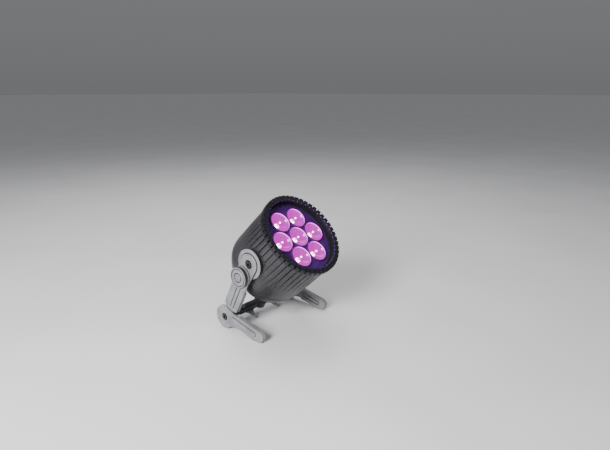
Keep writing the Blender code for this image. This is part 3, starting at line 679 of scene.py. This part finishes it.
def make_sockets():
    back = CAP_LOW.z
    for name in ("power_in", "power_out", "data_in", "data_out"):
        power = name.startswith("power")
        spot = centre(name, HEAD)
        mouth, pin_r, pin_circle_r = (8.2, 1.25, 3.9) if power else (7.4, 0.8, 3.5)
        profile = [(0, back + 6.0), (10.5, back + 6.0), (10.5, back - 0.3)] + rounded(
            [(10.6, back - 0.3), (SOCKET_RIM_R, back - 0.3), (SOCKET_RIM_R, back - 1.8), (mouth, back - 1.8),
             (mouth, back + 4.0)], 0.5, 4)[1:] + [(0, back + 4.0)]
        place = HEAD @ Matrix.Translation(Vector((spot.x, spot.y, 0)) * MM)
        piece(name + "_shell", turned_mesh(name + "_shell", profile, 72), PLASTIC_BLACK, place, "head",
              [name])
        bm = bmesh.new()
        for i in range(SOCKET_PINS):
            angle = 2 * math.pi * i / SOCKET_PINS + math.pi / 2
            pin = Vector((pin_circle_r * math.cos(angle), pin_circle_r * math.sin(angle), back + 2.2))
            bmesh.ops.create_cone(bm, cap_ends=True, segments=20, radius1=pin_r * 0.7 * MM,
                                  radius2=pin_r * MM, depth=3.4 * MM, matrix=Matrix.Translation(pin * MM))
        piece(name + "_pins", finished(bm, name + "_pins"), BRASS_PIN, place, "head")
        key = box_mesh(name + "_key", [((-1.0, mouth - 1.6, back - 1.4), (1.0, mouth + 0.2, back + 3.8))])
        piece(name + "_key", shaped(key, bevel=0.3), PLASTIC_BLACK, place, "head")


SEGMENTS = {"top": (0, 1), "middle": (0, 0), "bottom": (0, -1), "ul": (-1, 0.5), "ur": (1, 0.5),
            "ll": (-1, -0.5), "lr": (1, -0.5)}
DIGITS = {"0": "top bottom ul ur ll lr", "1": "ur lr"}
DISPLAY_TEXT = "001"


def make_display():
    low, high = span("display_window", HEAD)
    face = low.z
    glass = shaped(box_mesh("display_glass", [(low, high)]), bevel=0.5)
    piece("display_glass", glass, DISPLAY, HEAD, "head", ["display_window"])
    middle = (low + high) / 2
    boxes = []
    for place, digit in zip((-9.0, 0.0, 9.0), DISPLAY_TEXT):
        for part in DIGITS[digit].split():
            sx, sy = SEGMENTS[part]
            cx, cy = middle.x - place + sx * 2.2, middle.y + sy * 3.6
            half = (1.6, 0.35) if sx == 0 else (0.35, 1.4)
            boxes.append(((cx - half[0], cy - half[1], face - 0.08),
                          (cx + half[0], cy + half[1], face + 0.1)))
    piece("display_digits", box_mesh("display_digits", boxes), DISPLAY_LIT, HEAD, "head")


def make_buttons():
    back = CAP_LOW.z
    for i in range(1, 5):
        name = "menu_button_%d" % i
        spot = centre(name, HEAD)
        place = HEAD @ Matrix.Translation(Vector((spot.x, spot.y, 0)) * MM)
        profile = [(0, back + 5.0), (2.2, back + 5.0), (2.2, back + 3.2), (3.0, back + 3.2)] + rounded(
            [(3.0, back + 3.0), (3.0, back - 1.45), (1.6, back - 1.6)], 0.8, 5)[1:] + [(0, back - 1.45)]
        piece(name + "_key", turned_mesh(name + "_key", profile, 40), BUTTON_GREY, place, "button_%d" % i,
              [name])


def make_eye():
    back = CAP_LOW.z
    curve = bpy.data.curves.new("safety_loop", "CURVE")
    curve.dimensions = "3D"
    curve.bevel_depth = 2.0 * MM
    curve.bevel_resolution = 6
    curve.use_fill_caps = True
    loop = [(u, 41.0, back - v) for u, v in [(9.0, 0.3)] + arc((0, 6.0), 9.0, 0, 180, 32) + [(-9.0, 0.3)]]
    spline = curve.splines.new("POLY")
    spline.points.add(len(loop) - 1)
    for point, (x, y, z) in zip(spline.points, loop):
        point.co = (x * MM, y * MM, z * MM, 1)
    work = bpy.data.objects.new("work", curve)
    bpy.context.scene.collection.objects.link(work)
    bpy.context.view_layer.update()
    mesh = bpy.data.meshes.new_from_object(work.evaluated_get(bpy.context.evaluated_depsgraph_get()))
    bpy.data.objects.remove(work, do_unlink=True)
    mesh.shade_smooth()
    piece("safety_loop", mesh, STEEL, HEAD, "head", ["safety_eye"])


# --- stand ----------------------------------------------------------------------------------------
TILT_HEAD_SEAT = 91.4
DISC_R = 30.3
DISC_SPLIT, DISC_FACE = 91.9, 93.1
LINK_END_R = 21.4
ARM_REAR, ARM_FRONT = 15.0, -22.5
ARM_SPLIT = 97.4
ARM_GROOVES = ((-0.6, -2.2), (-10.4, -10.4))
KNOB_FACE_THICKNESS = 1.6
KNOB_BORE_END = 106.6


def make_tilt_pivot(side, word):
    low, high = layer("tilt_washer_right", HEAD)
    rim = span("tilt_washer_right", HEAD)[1].y
    washer = turned_mesh("w", rounded([(HOLE_R, high), (rim, high), (rim, low), (HOLE_R, low)], 0.5, 3,
                                      closed=True), closed=True)
    piece("tilt_friction_disc_" + word, washer, RUBBER, HEAD @ outward(side), "head",
          ["tilt_washer_" + word])
    low, high = layer("tilt_bolt_right", HEAD)
    bolt = socket_head("b", BOLT_HEAD_R, TILT_HEAD_SEAT, high, BOLT_SOCKET_R, BOLT_SOCKET_DEPTH, BOLT_R, low)
    piece("tilt_socket_bolt_" + word, bolt, DARK_STEEL, HEAD @ outward(side), "head",
          ["tilt_bolt_" + word])


def make_link(side, word):
    tilt = (TILT_IN_ARM.y, TILT_IN_ARM.z)
    inner, face = layer("upper_arm_right", ARM)
    # The moat cuts through the disc, so the black backing shows as a dark outline round the link: painted
    # shade.
    moat = arc(tilt, LINK_END_R + 1.6, -8, 188, 56) + arc((0, 0), 22.6, 200, 340, 40)
    disc = plate_mesh("d", [circle(tilt, DISC_R, 120), circle(tilt, HOLE_R, 32)], DISC_SPLIT, DISC_FACE)
    disc = on_side(shaped(disc, [plate_mesh("m", [moat], 91.0, 95.0)], 0.3, 2), side)
    # Black backing under the disc, showing as a dark band at its edge: painted shade.
    backing = plate_mesh("b", [circle(tilt, DISC_R, 120), circle(tilt, HOLE_R, 32)], inner, DISC_SPLIT)
    seat = plate_mesh("s", [circle(tilt, BOLT_HEAD_R + 0.7, 48)], TILT_HEAD_SEAT - 0.3, 95.0)
    backing = on_side(shaped(backing, [seat], 0.25, 2), side)
    piece("upper_arm_backing_" + word, backing, SHADE_BLACK, ARM, "links")
    piece("upper_arm_disc_" + word, disc, STAND_COAT, ARM, "links", ["upper_arm_" + word])
    outline = arc(tilt, LINK_END_R, -8, 188, 56) + arc((0, 0), 21.0, 200, 340, 40)
    link = plate_mesh("l", [outline, circle(tilt, 9.2, 64), circle((0, 0), HOLE_R, 32)], 91.8, face)
    link = on_side(shaped(link, bevel=0.8), side)
    piece("upper_arm_link_" + word, link, STAND_COAT, ARM, "links")
    low, high = layer("elbow_washer_right", ARM)
    washer = turned_mesh("w", rounded([(HOLE_R, high), (19.0, high), (19.0, low), (HOLE_R, low)], 0.3, 3,
                                      closed=True), closed=True)
    piece("elbow_friction_disc_" + word, washer, RUBBER, ARM @ outward(side), "links",
          ["elbow_washer_" + word])


def make_knob(side, word):
    base, face = layer("elbow_knob_right", ARM)
    radius = span("elbow_knob_right", ARM)[1].y
    seat = face - KNOB_FACE_THICKNESS
    # Black knob body: its side wall and the rings showing between the face pieces are painted shade.
    body = [(10.4, seat), (radius - 0.4, seat), (radius, seat - 0.4), (radius, base), (HOLE_R, base),
            (HOLE_R, KNOB_BORE_END)]
    profile = [(0, seat)] + rounded([(0.5, seat)] + body, 0.5, 4)[1:] + [(0, KNOB_BORE_END)]
    piece("elbow_hand_knob_" + word, turned_mesh("k", profile, 128), SHADE_BLACK, ARM @ outward(side),
          "knob_" + word, ["elbow_knob_" + word])
    for name, low, high in (("knob_face_", 9.9, 17.0), ("knob_rim_", 18.4, radius - 0.05)):
        corners = [(high, seat + 0.05), (high, face), (low, face), (low, seat + 0.05)]
        ring = rounded(corners, 0.45, 4, closed=True)
        piece(name + word, turned_mesh("f", ring, 128, closed=True), STAND_COAT, ARM @ outward(side),
              "knob_" + word)
    cap = [(0, face + 0.5), (7.2, face + 0.45), (7.9, face + 0.2), (8.2, face - 0.4), (8.2, seat + 0.05),
           (0, seat + 0.05)]
    piece("knob_centre_" + word, turned_mesh("c", cap, 96), STAND_COAT, ARM @ outward(side), "knob_" + word,
          ["knob_cap_" + word])


def make_lower_arm(side, word):
    foot = (0.0, -ELBOW_TO_FOOT)
    inner, outer = layer("lower_arm_right", ARM)
    front_edge = [(ARM_FRONT, -16.0), (ARM_FRONT, -81.5), (-14.0, -85.5)]
    lower_end = [(0.0, -87.6), (10.0, -87.4), (10.4, -84.0), (ARM_REAR, -81.0), (ARM_REAR, 14.6)]
    cover = rounded(arc((0, 0), 21.0, 44, 172, 40) + front_edge + lower_end, 1.6, 5, closed=True)
    block = [(ARM_FRONT, -30.0), (ARM_FRONT, -81.5), (-14.0, -92.0)] + arc(foot, 13.6, 170, 370, 48)
    block += [(10.4, -88.0), (10.4, -84.0), (ARM_REAR, -81.0), (ARM_REAR, -26.0)]
    block = rounded(block, 1.4, 4, closed=True)
    grooves = []
    for top, bottom in ARM_GROOVES:
        groove = stadium((top, -15.0), (bottom, -78.0), 1.3)
        grooves.append(plate_mesh("g", [groove], outer - 2.6, outer + 3))
    plate = plate_mesh("p", [cover, circle((0, 0), HOLE_R, 32)], ARM_SPLIT, outer)
    plate = on_side(shaped(plate, grooves, 0.5), side)
    piece("lower_arm_face_" + word, plate, STAND_COAT, ARM, "yoke", ["lower_arm_" + word])
    core = plate_mesh("c", [block, circle(foot, HOLE_R, 32)], inner, ARM_SPLIT + 0.1)
    core = on_side(shaped(core, bevel=0.6), side)
    piece("lower_arm_core_" + word, core, STAND_COAT, ARM, "yoke")


CLAMP_BOSS_R = 14.0
CLAMP_HOLE_R = 6.5
CLAMP_SCREW_X = 54


def make_crossbar():
    u = -ELBOW_TO_FOOT
    reach = span("crossbar", ARM)[1].x
    bar = box_mesh("bar", [((-reach, -7.0, u - 5.5), (reach, 7.0, u + 5.5))])
    boss = plate_mesh("boss", [circle((0, 0), CLAMP_BOSS_R, 72)], u - 6.0, u + 6.0)
    hole = plate_mesh("hole", [circle((0, 0), CLAMP_HOLE_R, 48)], u - 20, u + 20)
    tip = layer("foot_bolt_right", FOOT)[0]
    ends = [on_side(plate_mesh("end", [circle((0, u), HOLE_R, 32)], tip - 0.5, reach + 2), side)
            for side, _ in SIDES]
    bar = shaped(shaped(bar, [boss], operation="UNION"), [hole] + ends, 0.8)
    piece("clamp_bar", bar, BAR_COAT, ARM, "yoke", ["crossbar"])
    tongue = [(46, -7), (40, -12)] + arc((35, -27), 2.5, 0, -180, 12) + [(28, -12), (22, -7)]
    mirrored = [(-x, y) for x, y in reversed(tongue)]
    outline = ([(62, 7), (62, -7)] + tongue + arc((0, 0), CLAMP_BOSS_R, 330, 210, 24) + mirrored
               + [(-62, -7), (-62, 7)] + arc((0, 0), CLAMP_BOSS_R, 150, 30, 24))
    low, high = span("clamp_plate", ARM)
    holes = [circle((0, 0), CLAMP_HOLE_R, 48)]
    holes += [circle((side * CLAMP_SCREW_X, 0), 2.9, 24) for side, _ in SIDES]
    outline = rounded(outline, 1.2, 4, closed=True)
    plate = shaped(plate_mesh("plate", [outline] + holes, low.z, high.z), bevel=0.5)
    piece("clamp_bracket", plate, STAND_COAT, ARM, "yoke", ["clamp_plate"])
    for side, word in SIDES:
        node = "clamp_screw_" + word
        low, high = span(node, ARM)
        screw = socket_head("s", 4.3, u + 5.8, high.z, 2.1, 1.8, 2.5, low.z)
        place = ARM @ Matrix.Translation(Vector((centre(node, ARM).x, 0, 0)) * MM)
        piece("clamp_socket_screw_" + word, screw, STEEL, place, "yoke", [node])


FLOOR = -FOOT_PIVOT.z / MM
FOOT_HEAD_SEAT = 100.2
PADDLE_X = 92.6
PLATE_X = (97.8, 102.6)
RIB_ENDS = ((-26.0, 2.2), (-86.0, -11.6))


def foot_outline():
    tip = curve_through([(-93.7, 0.0), (-101.0, -1.4), (-106.2, -4.2), (-109.4, -8.0), (-110.4, -12.5),
                         (-109.0, -18.0), (-105.6, -22.6), (-101.6, FLOOR)], 4)
    underside = curve_through([(-77.0, FLOOR), (-69.0, -21.8), (-61.0, -19.2), (-50.0, -16.9), (-40.0, -15.8),
                               (-30.0, -15.4), (-22.0, -16.2), (-15.0, -18.6)], 4)
    return arc((0, 0), -FLOOR, 245, 472, 90) + [(-31.0, 12.6)] + tip + underside


def make_foot(side, word):
    outline = foot_outline()
    body = "foot_" + word
    plate = plate_mesh("p", [outline, circle((0, 0), HOLE_R, 32)], *PLATE_X)
    recess = plate_mesh("r", [circle((0, 0), 7.8, 48)], 99.9, 110)
    moat = plate_mesh("m", [stadium(*RIB_ENDS, 4.8, 24)], PLATE_X[1] - 1.6, 110)
    plate = on_side(shaped(plate, [recess, moat], 0.45), side)
    piece("foot_plate_" + word, plate, STAND_COAT, FOOT, body, ["foot_" + word])
    paddle = [(x, z) for x, z in outline if x < -40.0]
    core = plate_mesh("c", [[(-40.0, 10.8)] + paddle + [(-40.0, -15.8)]], PADDLE_X, PLATE_X[0] + 0.1)
    channel = plate_mesh("ch", [stadium((-48.0, -2.6), (-88.0, -11.8), 5.0)], 88.0, PADDLE_X + 3.5)
    core = on_side(shaped(core, [channel], 0.8), side)
    piece("foot_paddle_" + word, core, STAND_COAT, FOOT, body)
    rib = plate_mesh("rib", [stadium(*RIB_ENDS, 3.8, 24)], PLATE_X[1] - 1.5, PLATE_X[1] + 2.0)
    piece("foot_rib_" + word, on_side(shaped(rib, bevel=2.2, segments=6), side), STAND_COAT, FOOT, body)
    rib = plate_mesh("rib", [stadium((-48.0, -2.8), (-88.0, -12.0), 3.6, 24)], PADDLE_X + 0.2, PADDLE_X + 3.4)
    piece("foot_inner_rib_" + word, on_side(shaped(rib, bevel=1.6, segments=6), side), STAND_COAT, FOOT, body)
    low, high = layer("foot_bolt_right", FOOT)
    bolt = socket_head("b", BOLT_HEAD_R, FOOT_HEAD_SEAT, high, BOLT_SOCKET_R, BOLT_SOCKET_DEPTH, BOLT_R, low)
    piece("foot_socket_bolt_" + word, bolt, DARK_STEEL, FOOT @ outward(side), body,
          ["foot_bolt_" + word])
    repaint("foot_stop_" + word, PLASTIC_BLACK)


# --- assembly -------------------------------------------------------------------------------------
def paint_inner_nodes():
    # The plate's violet tint is painted lens light.
    repaint("lens_plate", PLATE_PAINTED_SPILL)
    for node in ("lens_gasket", "cap_gasket"):
        repaint(node, RUBBER)
    for node in ("heat_sink", "power_supply"):
        repaint(node, BRIGHT_ALUMINIUM)
    repaint("led_board", BOARD_WHITE)
    repaint("control_board", BOARD_GREEN)
    led = glow("led_package", (1.0, 0.4, 0.95), 2.0)
    for i in range(1, 8):
        repaint("led_%d" % i, led)
    for _, word in SIDES:
        repaint("elbow_stud_" + word, STEEL)


def make_object():
    make_housing()
    make_ring()
    make_lenses()
    make_rear_cap()
    make_sockets()
    make_display()
    make_buttons()
    make_eye()
    make_crossbar()
    for side, word in SIDES:
        make_tilt_pivot(side, word)
        make_link(side, word)
        make_knob(side, word)
        make_lower_arm(side, word)
        make_foot(side, word)
    paint_inner_nodes()


# --- stage ----------------------------------------------------------------------------------------
def make_floor():
    s = Shader("studio_floor", (0.74, 0.74, 0.75), 0.6)
    tint = s.mix(s.ramp(s.noise(300.0, 3.0), 0.3, 0.7, 0.0, 1.0), (0.72, 0.72, 0.73), (0.77, 0.77, 0.78))
    s.link(tint, s.bsdf.inputs["Base Color"])
    bm = bmesh.new()
    bmesh.ops.create_grid(bm, x_segments=1, y_segments=1, size=60.0)
    floor = bpy.data.objects.new("studio_floor", finished(bm, "studio_floor"))
    floor.data.materials.append(s.mat)
    floor.location.z = CAD_LOW.z - 0.0002
    bpy.context.scene.collection.objects.link(floor)


def area_light(name, spot, aim, size, power):
    light = bpy.data.lights.new(name, "AREA")
    light.size = size
    light.energy = power
    obj = bpy.data.objects.new(name, light)
    obj.location = spot
    obj.rotation_euler = (Vector(aim) - Vector(spot)).to_track_quat("-Z", "Y").to_euler()
    bpy.context.scene.collection.objects.link(obj)


def make_lights():
    middle = (CAD_LOW + CAD_HIGH) / 2
    area_light("key", (-1.5, -0.35, 0.95), middle, 0.65, 58)
    area_light("fill", (-0.3, -1.9, 0.9), middle, 1.3, 5)
    area_light("top", (0.5, 0.8, 1.8), middle, 1.5, 24)
    world = bpy.data.worlds.new("studio")
    world.use_nodes = True
    tree = world.node_tree
    background = tree.nodes["Background"]
    background.inputs["Color"].default_value = (0.80, 0.81, 0.84, 1)
    split = tree.nodes.new("ShaderNodeSeparateXYZ")
    rise = tree.nodes.new("ShaderNodeMapRange")
    for key, number in (("From Min", 0.0), ("From Max", 0.5), ("To Min", 0.20), ("To Max", 0.30)):
        rise.inputs[key].default_value = number
    tree.links.new(tree.nodes.new("ShaderNodeTexCoord").outputs["Generated"], split.inputs[0])
    tree.links.new(split.outputs["Z"], rise.inputs["Value"])
    tree.links.new(rise.outputs["Result"], background.inputs["Strength"])
    bpy.context.scene.world = world


def make_camera():
    """Low three-quarter view from the lamp's left front, level, with the tilt axis left of centre."""
    azimuth, elevation = math.radians(-49.909), math.radians(15.507)
    forward = Vector((-math.sin(azimuth) * math.cos(elevation), math.cos(azimuth) * math.cos(elevation),
                      -math.sin(elevation)))
    data = bpy.data.cameras.new("camera")
    data.lens = 28.58
    data.sensor_width = 36.0
    camera = bpy.data.objects.new("camera", data)
    camera.location = TILT + Vector((-0.69599, -0.64842, 0.32253))
    camera.rotation_euler = forward.to_track_quat("-Z", "Y").to_euler()
    bpy.context.scene.collection.objects.link(camera)
    bpy.context.scene.camera = camera


make_camera()
make_object()
make_floor()
make_lights()
bpy.context.view_layer.update()
